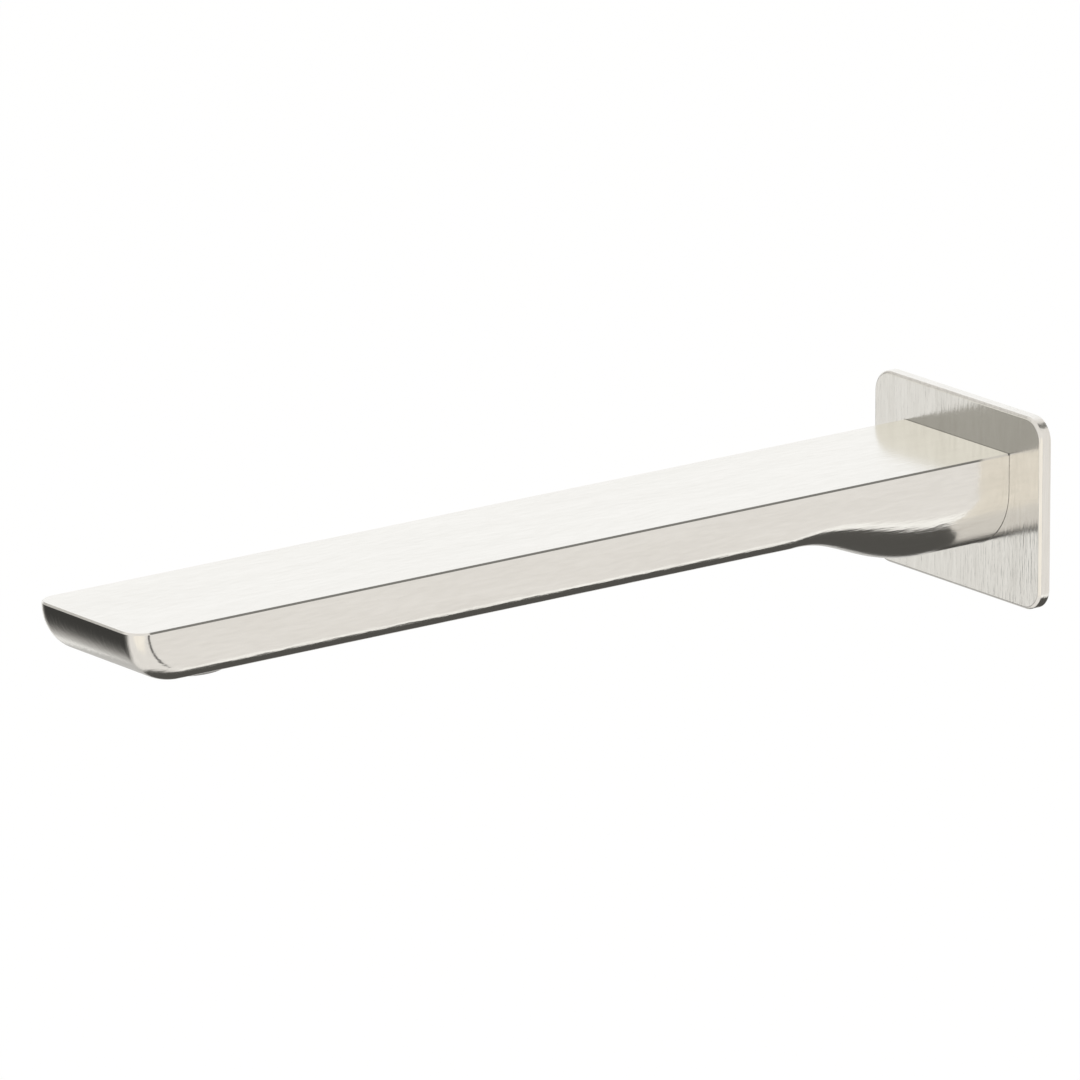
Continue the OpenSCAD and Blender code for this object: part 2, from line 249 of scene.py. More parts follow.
def tool_marks_group() -> bpy.types.NodeTree:
    """Builds the rings that a lathe tool leaves, round an axis along Y or Z.

    Returns:
        A group whose Upright input is 0 for an axis along Y and 1 for an axis along Z.
    """
    w, given, made = shader_group(
        "tool_marks",
        {"Place": VECTOR, "Upright": VALUE, "Centre": VALUE, "Fineness": VALUE},
        {"Rings": VALUE, "Stain": VALUE},
    )
    x, y, z = w.parts(given["Place"])
    off_centre = w.math("SUBTRACT", y, given["Centre"])
    steps = []
    for across, height in ((z, y), (off_centre, z)):
        squares = w.math("ADD", w.math("MULTIPLY", x, x), w.math("MULTIPLY", across, across))
        steps.append(w.math("ADD", w.math("SQRT", squares), height))
    way = w.math("MULTIPLY_ADD", w.math("SUBTRACT", steps[1], steps[0]), given["Upright"], steps[0])
    feeds = {"W": w.math("MULTIPLY", way, given["Fineness"]), "Scale": 1.0, "Detail": COARSE}
    w.feed(w.add("ShaderNodeTexNoise", feeds, noise_dimensions="1D").outputs[0], made["Rings"])
    w.feed(w.noise(given["Place"], STAIN_SCALE, FINE), made["Stain"])
    return w.tree


def moulded_skin_group() -> bpy.types.NodeTree:
    """Builds the skin of a moulded piece: a fine texture and a slow change of shade.

    Returns:
        A group with a Pits value for bump and a Shade value for colour.
    """
    w, given, made = shader_group(
        "moulded_skin",
        {"Place": VECTOR, "Fineness": VALUE, "Openness": VALUE},
        {"Pits": VALUE, "Shade": VALUE},
    )
    feeds = {0: given["Place"], "Scale": given["Fineness"]}
    scaled = w.add("ShaderNodeVectorMath", feeds, operation="SCALE")
    cells = w.add("ShaderNodeTexVoronoi", {"Vector": scaled.outputs[0], "Scale": 1.0})
    speckle = w.noise(scaled.outputs[0], 1.0, COARSE)
    spread = w.math("SUBTRACT", cells.outputs["Distance"], speckle)
    w.feed(w.math("MULTIPLY_ADD", spread, given["Openness"], speckle), made["Pits"])
    w.feed(w.noise(given["Place"], SHADE_SCALE, COARSE), made["Shade"])
    return w.tree


# ------------------------------------------------------------------ finishes


class Dressing:
    """A material under way: its Principled shader and the coordinates its patterns read."""

    def __init__(self, name: str, metallic: float, coat: float = 0.0) -> None:
        """Makes the material.

        Args:
            name: the material's name.
            metallic: 1 for bare metal, else 0.
            coat: weight of a clear top coat.
        """
        self.material = bpy.data.materials.new(name)
        self.material.use_nodes = True
        self.wiring = Wiring(self.material.node_tree)
        self.shader = self.material.node_tree.nodes["Principled BSDF"]
        self.shader.inputs["Metallic"].default_value = metallic
        self.shader.inputs["Coat Weight"].default_value = coat
        self.place = self.wiring.add("ShaderNodeTexCoord").outputs["Object"]

    def group(self, tree: bpy.types.NodeTree, **values: object) -> dict[str, bpy.types.NodeSocket]:
        """Places a shared group.

        Args:
            tree: the group.
            values: its inputs by name; Place is always the piece's own coordinates.

        Returns:
            The group's outputs by name.
        """
        node = self.wiring.add("ShaderNodeGroup", {"Place": self.place, **values}, node_tree=tree)
        return dict(node.outputs.items())

    def finish(self, colour: object, roughness: object, height: object, depth: float) -> bpy.types.Material:
        """Joins the patterns to the shader.

        Args:
            colour: socket for the base colour.
            roughness: socket for the roughness.
            height: socket for the relief, from 0 to 1.
            depth: depth of that relief in metres.

        Returns:
            The finished material.
        """
        bump = self.wiring.add("ShaderNodeBump", {"Distance": depth, "Height": height}).outputs[0]
        for name, value in {"Base Color": colour, "Roughness": roughness, "Normal": bump}.items():
            self.wiring.feed(value, self.shader.inputs[name])
        return self.material


@dataclass(frozen=True)
class BrushedNickel:
    """Satin nickel plate over brush lines. The lines turn with the mesh's own upright_grain.

    A share under 1 paints shade on the flat face at the given top level where another piece mirrors it:
    only that share of its colour is kept there.
    """

    name: str
    light: Colour = (0.86, 0.848, 0.822)
    dark: Colour = (0.79, 0.775, 0.745)
    smooth: float = 0.1
    rough: float = 0.19
    fineness: float = 1400.0
    stretch: float = 7.0
    depth: float = 0.05 * MM
    kept_in_painted_shade: float = 1.0
    painted_shade_level: float = 0.0
    line_range: tuple[float, float] = (0.25, 0.75)
    patch_range: tuple[float, float] = (0.3, 0.7)
    patch_share: float = 0.35

    def make(self, grain: bpy.types.NodeTree) -> bpy.types.Material:
        """Builds the material.

        Args:
            grain: the shared brush grain group.

        Returns:
            The material.
        """
        dress = Dressing(self.name, metallic=1.0)
        w = dress.wiring
        turn = w.add("ShaderNodeAttribute", attribute_name="upright_grain").outputs["Fac"]
        made = dress.group(grain, Turn=turn, Fineness=self.fineness, Stretch=self.stretch)
        lines = w.span(made["Lines"], *self.line_range)
        patches = w.span(made["Patches"], *self.patch_range)
        share = self.patch_share
        both = w.math("MULTIPLY_ADD", patches, share, w.math("MULTIPLY", lines, 1 - share))
        colour = w.tint(both, self.dark, self.light)
        # Painted shade: the flat top is darkened for glossy rays, so it looks darker wherever another piece
        # mirrors it.
        if self.kept_in_painted_shade < 1:
            painted_shade_colour = tuple(part * self.kept_in_painted_shade for part in self.dark)
            levels = (self.painted_shade_level - step for step in PAINTED_SHADE_STEPS)
            painted_shade_mask = w.span(w.parts(dress.place)[2], *levels)
            seen = w.add("ShaderNodeLightPath").outputs["Is Glossy Ray"]
            colour = w.tint(w.math("MULTIPLY", seen, painted_shade_mask), colour, painted_shade_colour)
        return dress.finish(colour, w.between(both, self.rough, self.smooth), made["Lines"], self.depth)


@dataclass(frozen=True)
class TurnedMetal:
    """Metal cut on a lathe, with fine rings round its axis and a slight stain."""

    name: str
    bright: Colour
    stained: Colour
    axis: Axis = Axis.Y
    centre: float = 0.0
    roughness: float = 0.24
    fineness: float = 5200.0
    depth: float = 0.012 * MM
    stain_range: tuple[float, float] = (0.42, 0.68)
    roughness_spread: float = 0.16

    def make(self, marks: bpy.types.NodeTree) -> bpy.types.Material:
        """Builds the material.

        Args:
            marks: the shared tool marks group.

        Returns:
            The material.
        """
        dress = Dressing(self.name, metallic=1.0)
        w = dress.wiring
        upright = 1.0 if self.axis is Axis.Z else 0.0
        made = dress.group(marks, Upright=upright, Centre=self.centre, Fineness=self.fineness)
        stain = w.span(made["Stain"], *self.stain_range, smooth=True)
        roughness = w.between(made["Rings"], self.roughness, self.roughness + self.roughness_spread)
        return dress.finish(w.tint(stain, self.bright, self.stained), roughness, made["Rings"], self.depth)


@dataclass(frozen=True)
class Moulded:
    """Moulded plastic, rubber or foam. Openness runs from 0, a closed skin, to 1, open cells."""

    name: str
    light: Colour
    dark: Colour
    roughness: float = 0.45
    fineness: float = 2600.0
    openness: float = 0.0
    depth: float = 0.01 * MM
    coat: float = 0.0
    pit_share: float = 0.4
    shade_range: tuple[float, float] = (0.3, 0.7)
    roughness_spread: tuple[float, float] = (-0.06, 0.1)

    def make(self, skin: bpy.types.NodeTree) -> bpy.types.Material:
        """Builds the material.

        Args:
            skin: the shared moulded skin group.

        Returns:
            The material.
        """
        dress = Dressing(self.name, metallic=0.0, coat=self.coat)
        w = dress.wiring
        made = dress.group(skin, Fineness=self.fineness, Openness=self.openness)
        share = self.pit_share
        shade = w.math("MULTIPLY_ADD", made["Pits"], share, w.math("MULTIPLY", made["Shade"], 1 - share))
        colour = w.tint(w.span(shade, *self.shade_range), self.dark, self.light)
        roughness = w.between(made["Pits"], *(self.roughness + step for step in self.roughness_spread))
        return dress.finish(colour, roughness, made["Pits"], self.depth)


class Finishes:
    """Every finish of the spout, made once from the three shared groups."""

    def __init__(self, outlet_y: float, top_z: float) -> None:
        """Builds the materials.

        Args:
            outlet_y: place of the aerator's axis along Y.
            top_z: height of the spout's flat top.
        """
        grain, marks, skin = brush_grain_group(), tool_marks_group(), moulded_skin_group()
        brass = {"bright": (0.83, 0.62, 0.27), "stained": (0.66, 0.45, 0.18)}
        self.nickel = BrushedNickel("brushed_nickel_blade").make(grain)
        # The lid carries painted shade on its flat top where other pieces mirror it.
        self.lid_nickel = BrushedNickel(
            "brushed_nickel_lid", depth=0.02 * MM, kept_in_painted_shade=0.34, painted_shade_level=top_z
        ).make(grain)
        self.plate_nickel = BrushedNickel(
            "brushed_nickel_plate", dark=(0.77, 0.753, 0.72), fineness=1900.0, stretch=12.0,
            depth=0.06 * MM,
        ).make(grain)
        self.inlet_brass = TurnedMetal("turned_brass_inlet", **brass).make(marks)
        self.outlet_brass = TurnedMetal(
            "turned_brass_outlet", axis=Axis.Z, centre=outlet_y, **brass
        ).make(marks)
        self.steel = TurnedMetal(
            "lock_screw_steel", (0.62, 0.61, 0.59), (0.42, 0.41, 0.4), Axis.Z, roughness=0.3
        ).make(marks)
        self.rubber = Moulded("black_rubber", (0.035, 0.035, 0.036), (0.018, 0.018, 0.019), 0.6).make(skin)
        self.seal = Moulded("white_thread_seal", (0.84, 0.83, 0.79), (0.74, 0.73, 0.69), 0.5).make(skin)
        self.carrier = Moulded("black_plastic", (0.045, 0.045, 0.047), (0.026, 0.026, 0.028), 0.42).make(skin)
        self.foam = Moulded(
            "foam_gasket", (0.16, 0.16, 0.165), (0.05, 0.05, 0.052), 0.85, 1500.0, 1.0, 0.12 * MM
        ).make(skin)
        self.grey = Moulded("grey_plastic", (0.36, 0.36, 0.36), (0.3, 0.3, 0.3), 0.38, coat=0.15).make(skin)
        self.white = Moulded("white_plastic", (0.8, 0.8, 0.78), (0.72, 0.72, 0.7), 0.4).make(skin)


# ------------------------------------------------------------------ mesh making


def solid(name: str, points: Iterable[Point], faces: Iterable[Sequence[int]]) -> bpy.types.Object:
    """Makes an object of a closed mesh, with its faces turned outwards.

    Args:
        name: the object's name.
        points: its corners.
        faces: indices into the corners.

    Returns:
        The object.
    """
    mesh = bpy.data.meshes.new(name)
    mesh.from_pydata([tuple(map(float, p)) for p in points], [], [list(f) for f in faces])
    work = bmesh.new()
    work.from_mesh(mesh)
    bmesh.ops.remove_doubles(work, verts=work.verts, dist=1e-7)
    bmesh.ops.recalc_face_normals(work, faces=work.faces)
    work.to_mesh(mesh)
    work.free()
    piece = bpy.data.objects.new(name, mesh)
    bpy.context.scene.collection.objects.link(piece)
    return piece


def loft(name: str, rings: Sequence[Sequence[Point]]) -> bpy.types.Object:
    """Joins closed rings of points into a solid, with a flat face at each end.

    Args:
        name: the object's name.
        rings: rings that all have the same number of points.

    Returns:
        The object.
    """
    count = len(rings[0])
    faces = [
        (i * count + k, i * count + (k + 1) % count, (i + 1) * count + (k + 1) % count, (i + 1) * count + k)
        for i in range(len(rings) - 1)
        for k in range(count)
    ]
    last = (len(rings) - 1) * count
    faces += [tuple(reversed(range(count))), tuple(range(last, last + count))]
    return solid(name, [point for ring in rings for point in ring], faces)


def on_axis(axis: Axis, base: Point, across: float, side: float, height: float) -> Point:
    """Places a point given from an axis.

    Args:
        axis: the axis that heights are measured along.
        base: point on that axis where the height is 0.
        across: distance along X.
        side: distance along the third direction.
        height: distance along the axis.

    Returns:
        The point.
    """
    if axis is Axis.Z:
        return base[0] + across, base[1] + side, base[2] + height
    return base[0] + across, base[1] + height, base[2] + side


def turned(
    name: str, outline: Sequence[tuple[float, float]], axis: Axis, base: Point, steps: int = 96
) -> bpy.types.Object:
    """Turns a closed outline round an axis.

    Args:
        name: the object's name.
        outline: radius and height of each corner; radii are above 0.
        axis: the axis.
        base: point on the axis where the height is 0.
        steps: faces round the axis.

    Returns:
        The object.
    """
    count = len(outline)
    points = []
    for i in range(steps):
        a = 2 * math.pi * i / steps
        points += [on_axis(axis, base, r * math.cos(a), r * math.sin(a), h) for r, h in outline]
    faces = []
    for i in range(steps):
        j = (i + 1) % steps
        faces += [
            (i * count + k, j * count + k, j * count + (k + 1) % count, i * count + (k + 1) % count)
            for k in range(count)
        ]
    return solid(name, points, faces)


def rod(
    name: str, radius: float, low: float, high: float, axis: Axis, base: Point, sides: int = 96
) -> bpy.types.Object:
    """Makes a plain rod, which is used only to cut with.

    Args:
        name: the object's name.
        radius: distance from the axis to its corners.
        low: where it starts along the axis.
        high: where it ends.
        axis: the axis.
        base: point on the axis where heights are 0.
        sides: number of sides.

    Returns:
        The object.
    """
    turn = [2 * math.pi * i / sides for i in range(sides)]
    return loft(name, [
        [on_axis(axis, base, radius * math.cos(a), radius * math.sin(a), height) for a in turn]
        for height in (low, high)
    ])


def applied(piece: bpy.types.Object) -> bpy.types.Object:
    """Turns an object and its modifiers into a plain mesh.

    Args:
        piece: the object.

    Returns:
        The same object, with the modifiers in its mesh.
    """
    depsgraph = bpy.context.evaluated_depsgraph_get()
    mesh = bpy.data.meshes.new_from_object(piece.evaluated_get(depsgraph))
    piece.modifiers.clear()
    piece.data = mesh
    mesh.name = piece.name
    return piece


def combine(piece: bpy.types.Object, others: Sequence[bpy.types.Object], operation: str) -> bpy.types.Object:
    """Cuts other solids from a piece, or adds them to it, and removes them.

    Args:
        piece: the solid that stays.
        others: the solids that are used up.
        operation: DIFFERENCE or UNION.

    Returns:
        The piece.
    """
    for other in others:
        boolean = piece.modifiers.new(other.name, "BOOLEAN")
        boolean.operation = operation
        boolean.solver = "EXACT"
        boolean.object = other
    applied(piece)
    for other in others:
        bpy.data.objects.remove(other)
    return piece


def smoothed(piece: bpy.types.Object, edge: float = 0.0) -> bpy.types.Object:
    """Shades a piece smooth, keeps its hard edges and evens out its normals.

    Args:
        piece: the piece.
        edge: width of a small bevel along its hard edges, or 0 for none.

    Returns:
        The piece.
    """
    if edge:
        bevel = piece.modifiers.new("small_edge", "BEVEL")
        bevel.width = edge
        bevel.segments = 2
        bevel.angle_limit = SHARP_ANGLE
        applied(piece)
    mesh = piece.data
    mesh.shade_smooth()
    mesh.set_sharp_from_angle(angle=SHARP_ANGLE)
    even = piece.modifiers.new("even_normals", "WEIGHTED_NORMAL")
    even.keep_sharp = True
    return applied(piece)


def set_grain(piece: bpy.types.Object, grain_at: Callable[[np.ndarray], np.ndarray]) -> None:
    """Stores which way the brush lines run, as an attribute on the mesh's corners.

    Args:
        piece: the brushed piece.
        grain_at: gives 0 to 1 for each corner normal, as Grain's values.
    """
    mesh = piece.data
    normals = np.array([item.vector for item in mesh.corner_normals], float)
    values = mesh.attributes.new("upright_grain", "FLOAT", "CORNER")
    values.data.foreach_set("value", grain_at(normals).astype(np.float32))


def dressed(piece: bpy.types.Object, finish: bpy.types.Material) -> bpy.types.Object:
    """Gives a piece one finish all over.

    Args:
        piece: a new piece or a CAD node.
        finish: the material.

    Returns:
        The piece.
    """
    if not piece.material_slots:
        piece.data.materials.append(finish)
    for slot in piece.material_slots:
        slot.material = finish
    return piece


def stand_in(piece: bpy.types.Object, body: str, node: str) -> None:
    """Lets a finished piece ride on a body in place of a CAD node.

    Args:
        piece: the piece.
        body: the body it rides on.
        node: the CAD node it replaces.
    """
    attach(piece, body)
    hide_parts(node)
    log.info("%s stands for %s on %s: %d faces", piece.name, node, body, len(piece.data.polygons))


def keep_node(node: str, finish: bpy.types.Material) -> None:
    """Keeps a CAD node whose shape is right, with a better finish.

    Args:
        node: the CAD node.
        finish: the material.
    """
    dressed(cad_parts[node], finish)
    log.info("%s keeps its CAD shape, in %s", node, finish.name)


# ------------------------------------------------------------------ screw threads

HELIX_STEPS = 60  # points in a turn of a thread


def start_tree(name: str, inputs: dict[str, str]) -> tuple[Wiring, dict]:
    """Starts a Geometry Nodes tree that runs on a core and gives a shape.

    Args:
        name: the tree's name.
        inputs: socket types by input name, besides the Core and the Finish.

    Returns:
        Its wiring, and its inputs as sockets to read.
    """
    tree = bpy.data.node_groups.new(name, "GeometryNodeTree")
    for socket, kind in {"Core": GEOMETRY, **inputs, "Finish": "NodeSocketMaterial"}.items():
        tree.interface.new_socket(socket, in_out="INPUT", socket_type=kind)
    tree.interface.new_socket("Shape", in_out="OUTPUT", socket_type=GEOMETRY)
    wiring = Wiring(tree)
    return wiring, wiring.add("NodeGroupInput").outputs


def end_tree(w: Wiring, shape: bpy.types.NodeSocket, finish: bpy.types.NodeSocket) -> bpy.types.NodeTree:
    """Ends a Geometry Nodes tree with real faces in one finish.

    Args:
        w: the tree's wiring.
        shape: the shape so far.
        finish: the tree's Finish.

    Returns:
        The tree.
    """
    real = w.add("GeometryNodeRealizeInstances", {0: shape})
    coated = w.add("GeometryNodeSetMaterial", {"Geometry": real.outputs[0], "Material": finish})
    w.add("NodeGroupOutput", {0: coated.outputs[0]})
    return w.tree


def thread_tree() -> bpy.types.NodeTree:
    """Builds the Geometry Nodes tree that winds a V-shaped ridge round a turned core.

    Returns:
        A tree that adds the ridge to the core and gives both one material.
    """
    sizes = dict.fromkeys(("Root Radius", "Ridge Height", "Ridge Width", "Turns", "Length"), VALUE)
    w, given = start_tree("screw_ridge", {**sizes, "Start": VECTOR, "Tilt": ROTATION})
    helix = w.add("GeometryNodeCurveSpiral", {
        "Resolution": HELIX_STEPS, "Rotations": given["Turns"], "Height": given["Length"],
        "Start Radius": given["Root Radius"], "End Radius": given["Root Radius"],
    })
    upright = w.add("GeometryNodeSetCurveNormal", {"Curve": helix.outputs[0]}, mode="Z_UP")
    diamond = w.add("GeometryNodeCurvePrimitiveCircle", {"Resolution": 4, "Radius": 1.0})
    size = w.add("ShaderNodeCombineXYZ", {"X": given["Ridge Height"], "Y": given["Ridge Width"]})
    section = w.add("GeometryNodeTransform", {"Geometry": diamond.outputs[0], "Scale": size.outputs[0]})
    ridge = w.add("GeometryNodeCurveToMesh", {
        "Curve": upright.outputs[0], "Profile Curve": section.outputs[0], "Fill Caps": True,
    })
    placed = w.add("GeometryNodeTransform", {
        "Geometry": ridge.outputs[0], "Translation": given["Start"], "Rotation": given["Tilt"],
    })
    both = w.add("GeometryNodeJoinGeometry", {0: given["Core"]})
    w.feed(placed.outputs[0], both.inputs[0])
    return end_tree(w, both.outputs[0], given["Finish"])


def run_tree(piece: bpy.types.Object, tree: bpy.types.NodeTree, values: dict) -> bpy.types.Object:
    """Runs a Geometry Nodes tree on a piece and keeps the plain mesh.

    Args:
        piece: the piece that the tree starts from.
        tree: the tree.
        values: its inputs by name.

    Returns:
        The piece.
    """
    modifier = piece.modifiers.new(tree.name, "NODES")
    modifier.node_group = tree
    for item in tree.interface.items_tree:
        if item.name in values and item.in_out == "INPUT":
            modifier[item.identifier] = values[item.name]
    return applied(piece)


@dataclass(frozen=True)
class Thread:
    """A male thread: its crest radius, pitch, length and where it starts on its axis."""

    crest: float
    pitch: float
    length: float
    start: tuple[float, float, float]
    axis: Axis
    depth_share: float = 0.55
    ridge_share: float = 0.46

    @property
    def root(self) -> float:
        """Radius of the core between the ridges."""
        return self.crest - self.depth_share * self.pitch

    def wind(
        self, core: bpy.types.Object, tree: bpy.types.NodeTree, finish: bpy.types.Material
    ) -> bpy.types.Object:
        """Winds the ridge round a core.

        Args:
            core: the turned core.
            tree: the thread tree.
            finish: material for core and ridge.

        Returns:
            The threaded piece.
        """
        tilt = (0.0, 0.0, 0.0) if self.axis is Axis.Z else (-math.pi / 2, 0.0, 0.0)
        run = self.length - self.pitch
        return run_tree(core, tree, {
            "Root Radius": self.root,
            "Ridge Height": self.crest - self.root,
            "Ridge Width": self.pitch * self.ridge_share,
            "Turns": run / self.pitch,
            "Length": run,
            "Start": on_axis(self.axis, self.start, 0.0, 0.0, self.pitch / 2),
            "Tilt": tilt,
            "Finish": finish,
        })


# ------------------------------------------------------------------ spout

GRAIN_TURNS_FROM, GRAIN_TURNS_OVER = 0.35, 0.4  # how far a face looks at -Y, from 0 to 1


@dataclass(frozen=True)
class Station:
    """One section of the spout's lower profile: its place, inward normal and edge radius."""

    y: float
    z: float
    normal_y: float
    normal_z: float
    radius: float


@dataclass
class Spout:
    """The hollow body and its lid. The overall sizes come from the frame."""

    reach: float
    width: float
    lid_z: float
    top_z: float
    hub_depth: float
    back: float
    outlet_y: float
    blade_depth: float = 12.8 * MM
    edge_radius: float = 4 * MM
    corner_radius: float = 5 * MM
    hub_radius: float = 15 * MM
    nose_length: float = 13.5 * MM
    chamfer: float = 0.4 * MM
    hub_end: float = -21 * MM
    sweep: float = 44 * MM
    wall: float = 2.2 * MM
    chamber_end: float = -24 * MM
    socket_start: float = -29 * MM
    socket_radius: float = 9.5 * MM
    outlet_radius: float = 12.3 * MM
    bush_radius: float = 14 * MM
    pad_wall: float = 1 * MM
    screw_y: float = -10.5 * MM
    screw_radius: float = 2 * MM
    hub_swell: float = 0.62
    least_radius: float = 0.3 * MM
    end_room: float = 1 * MM
    slope_step: float = 0.01 * MM
    nose_start: float = math.radians(0.6)
    nose_crowding: float = 1.15
    lean_limit: float = 0.9
    nose_steps: int = 30
    sweep_steps: int = 72
    edge_steps: int = 16
    corner_steps: int = 24
    lid_steps: int = 4

    def hubness(self, y: float) -> float:
        """Part of the way from the blade (0) to the hub (1) at a place along Y."""
        part = min(1.0, max(0.0, (y - self.hub_end + self.sweep) / self.sweep))
        return (1 - math.cos(math.pi * part)) / 2

    def under_z(self, y: float) -> float:
        """Height of the underside at a place along Y."""
        return self.top_z - self.blade_depth - (self.hub_depth - self.blade_depth) * self.hubness(y)

    def lower_radius(self, y: float) -> float:
        """Radius of the lower edge, which grows over the nose and again towards the hub.

        Args:
            y: the place along Y.

        Returns:
            The radius.
        """
        nose = (y + self.reach) / self.nose_length
        if nose < 1:
            return self.corner_radius + (self.edge_radius - self.corner_radius) * nose
        return self.edge_radius + (self.hub_radius - self.edge_radius) * self.hubness(y) ** self.hub_swell

    def nose_shift(self, z: float) -> float:
        """Distance that the nose falls back from the tip at a height, on its quarter ellipse."""
        part = (self.top_z - self.chamfer - z) / (self.blade_depth - self.chamfer)
        return self.nose_length * (1 - math.sqrt(1 - min(1.0, max(0.0, part)) ** 2))

    def nose_stations(self) -> list[Station]:
        """Follows the quarter ellipse of the nose, from just under the lid to the blade's underside.

        Returns:
            The stations, each leaning no further than the lid lets its sides go.
        """
        height = self.blade_depth - self.chamfer
        crown = self.top_z - self.chamfer
        first = math.asin((crown - self.lid_z) / height) + self.nose_start
        stations = []
        for i in range(self.nose_steps + 1):
            a = first + (math.pi / 2 - first) * (i / self.nose_steps) ** self.nose_crowding
            y = self.nose_length * (1 - math.cos(a)) - self.reach
            z = crown - height * math.sin(a)
            lean = self.nose_length * math.sin(a)
            true_z = lean / math.hypot(height * math.cos(a), lean)
            radius = self.lower_radius(y)
            normal_z = min(true_z, self.lean_limit * (self.lid_z - z) / radius)
            stations.append(Station(y, z, math.sqrt(1 - normal_z**2), normal_z, radius))
        return stations

    def sweep_stations(self) -> list[Station]:
        """Follows the underside from the blade to the hub.

        Returns:
            The stations, square to the underside.
        """
        stations = []
        for i in range(self.sweep_steps + 1):
            y = self.hub_end - self.sweep * (1 - i / self.sweep_steps)
            step = self.slope_step
            slope = (self.under_z(y - step) - self.under_z(y + step)) / (2 * step)
            size = math.hypot(slope, 1)
            stations.append(Station(y, self.under_z(y), slope / size, 1 / size, self.lower_radius(y)))
        return stations

    def ring(self, station: Station, inset: float, top: float) -> list[Point]:
        """Ring of points across the spout, whose ends stand straight up to the height top.

        Args:
            station: where the ring is.
            inset: distance inside the outer skin.
            top: height of its ends.

        Returns:
            The points, from one upper end round the underside to the other.
        """
        radius = max(station.radius - inset, self.least_radius)
        side = self.width / 2 - inset
        end_y = station.y + station.normal_y * (inset + radius)
        quarter = [math.pi / 2 * k / self.edge_steps for k in range(self.edge_steps + 1)]
        half = []
        for a in quarter:
            up = inset + radius * (1 - math.cos(a))
            half.append((
                side - radius + radius * math.sin(a),
                station.y + station.normal_y * up,
                station.z + station.normal_z * up,
            ))
        half.append((side, end_y, top))
        return [(-x, y, z) for x, y, z in reversed(half)] + half

    def body(self, name: str, inset: float, top: float, end_y: float) -> bpy.types.Object:
        """Solid under the height top, from the tip to an upright end.

        Args:
            name: the object's name.
            inset: distance inside the outer skin.
            top: height of its flat top.
            end_y: place of its upright end.

        Returns:
            The solid.
        """
        tip = Station(self.nose_shift(self.lid_z) - self.reach, top, 1.0, 0.0, self.corner_radius)
        profile = [
            s for s in self.nose_stations() + self.sweep_stations()
            if s.y + s.normal_y * s.radius < end_y - self.end_room
        ]
        end = Station(end_y, self.under_z(end_y), 0.0, 1.0, self.lower_radius(end_y))
        rings = [self.ring(s, inset, top) for s in (tip, *profile, end)]
        return loft(name, rings)

    def lid_outline(self, inset: float, shift: float) -> list[tuple[float, float]]:
        """Plan of the lid, with its two round tip corners.

        Args:
            inset: distance inside the outer edge.
            shift: distance of its front from the tip.

        Returns:
            Points in X and Y.
        """
        radius = self.corner_radius - inset
        cx, cy = self.width / 2 - self.corner_radius, self.corner_radius + shift - self.reach
        corner = [math.pi / 2 * k / self.corner_steps for k in range(self.corner_steps + 1)]
        half = [(cx + radius * math.sin(a), cy - radius * math.cos(a)) for a in corner]
        half.append((self.width / 2 - inset, self.back))
        return [(-x, y) for x, y in reversed(half)] + half

    def build_lid(self, finishes: Finishes) -> None:
        """Makes the lid, whose front follows the nose up to the small chamfer round the top.

        Args:
            finishes: every finish of the spout.
        """
        rise = self.top_z - self.chamfer - self.lid_z
        levels = [(self.lid_z + rise * k / self.lid_steps, 0.0) for k in range(self.lid_steps + 1)]
        levels.append((self.top_z, self.chamfer))
        lid = smoothed(loft("spout_lid", [
            [(x, y, z) for x, y in self.lid_outline(inset, self.nose_shift(z))] for z, inset in levels
        ]))
        set_grain(lid, front_faces_upright)
        stand_in(dressed(lid, finishes.lid_nickel), "spout", "top_cover")

    def build_body(self, finishes: Finishes) -> None:
        """Makes the hollow body, with its socket, outlet and lock screw hole.

        Args:
            finishes: every finish of the spout.
        """
        under = self.top_z - self.blade_depth
        outlet = (0.0, self.outlet_y, under)
        hub = (0.0, 0.0, 0.0)
        shell = self.body("spout_shell", 0.0, self.lid_z, self.back)
        hollow = self.body("hollow", self.wall, self.lid_z + PAST, self.chamber_end)
        combine(shell, [hollow], "DIFFERENCE")
        pad_radius = self.bush_radius + self.pad_wall
        pad = rod("outlet_pad", pad_radius, self.wall / 2, self.wall * 1.5, Axis.Z, outlet)
        combine(shell, [pad], "UNION")
        combine(shell, [
            rod("outlet_hole", self.outlet_radius, -PAST, self.wall + PAST, Axis.Z, outlet),
            rod("outlet_seat", self.bush_radius, self.wall, self.blade_depth, Axis.Z, outlet),
            rod("socket", self.socket_radius, self.socket_start, PAST, Axis.Y, hub),
            rod("screw_hole", self.screw_radius, -self.hub_depth, 0.0, Axis.Z, (0.0, self.screw_y, 0.0)),
        ], "DIFFERENCE")
        smoothed(shell)
        set_grain(shell, front_faces_upright)
        stand_in(dressed(shell, finishes.nickel), "spout", "spout_body")

    def build(self, finishes: Finishes) -> None:
        """Makes the body and the lid."""
        self.build_body(finishes)
        self.build_lid(finishes)


def front_faces_upright(normals: np.ndarray) -> np.ndarray:
    """Turns the brush lines upright where a face looks along Y, as at the tip.

    Args:
        normals: one normal a row.

    Returns:
        0 to 1 for each normal.
    """
    first, last = Grain.ALONG_BLADE.value, Grain.UPRIGHT.value
    part = np.clip((-normals[:, 1] - GRAIN_TURNS_FROM) / GRAIN_TURNS_OVER, 0, 1)
    return first + part * part * (3 - 2 * part) * (last - first)


# ------------------------------------------------------------------ cover plate


